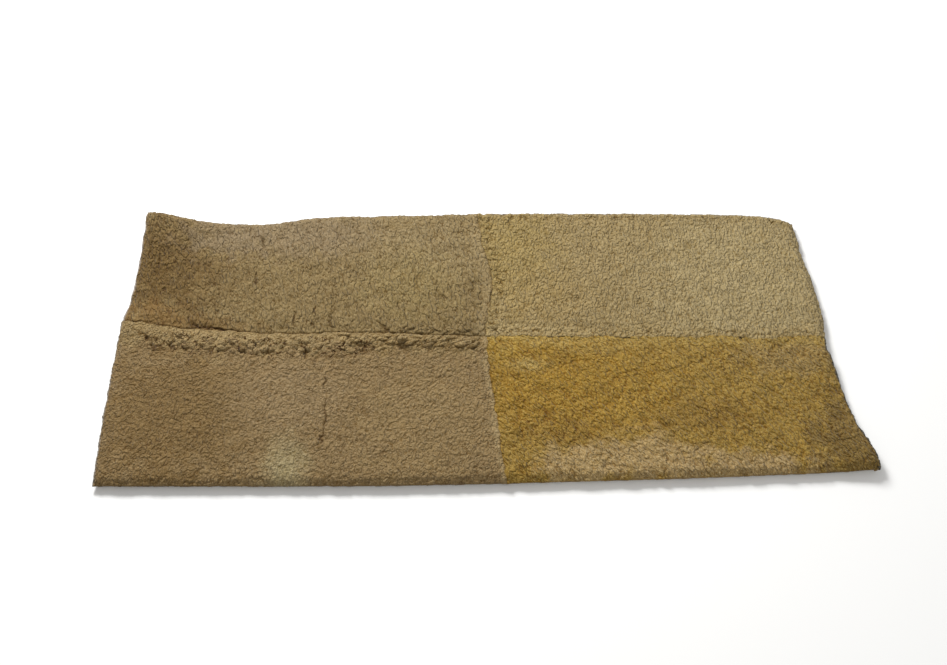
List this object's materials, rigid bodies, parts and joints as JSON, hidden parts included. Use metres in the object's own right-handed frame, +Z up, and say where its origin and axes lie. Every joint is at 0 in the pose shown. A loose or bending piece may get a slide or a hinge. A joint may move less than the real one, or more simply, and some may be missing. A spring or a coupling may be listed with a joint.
{
  "type": "pieced sheepskin rug",
  "caption": "Flat rectangular rug of sheared sheepskin panels sewn edge to edge, laid wool side up, with one back corner curled off the floor.",
  "frame": {"origin": "middle of the rug's length and width, on the floor it lies on", "axes": "+X along the rug's length, to the right seen from its front edge; +Y from the front edge to the back edge; +Z up out of the wool"},
  "size_m": [1.2256, 0.5782, 0.0405],
  "materials": {
    "wool_brown": "sheared wool, matte",
    "wool_straw": "sheared wool, matte",
    "wool_taupe": "sheared wool, matte",
    "wool_gold": "sheared wool, matte"
  },
  "bodies": {
    "root": {"panel_back_left": "wool_brown", "panel_back_right": "wool_straw", "panel_front_left": "wool_taupe", "panel_front_right": "wool_gold"}
  },
  "joints": []
}
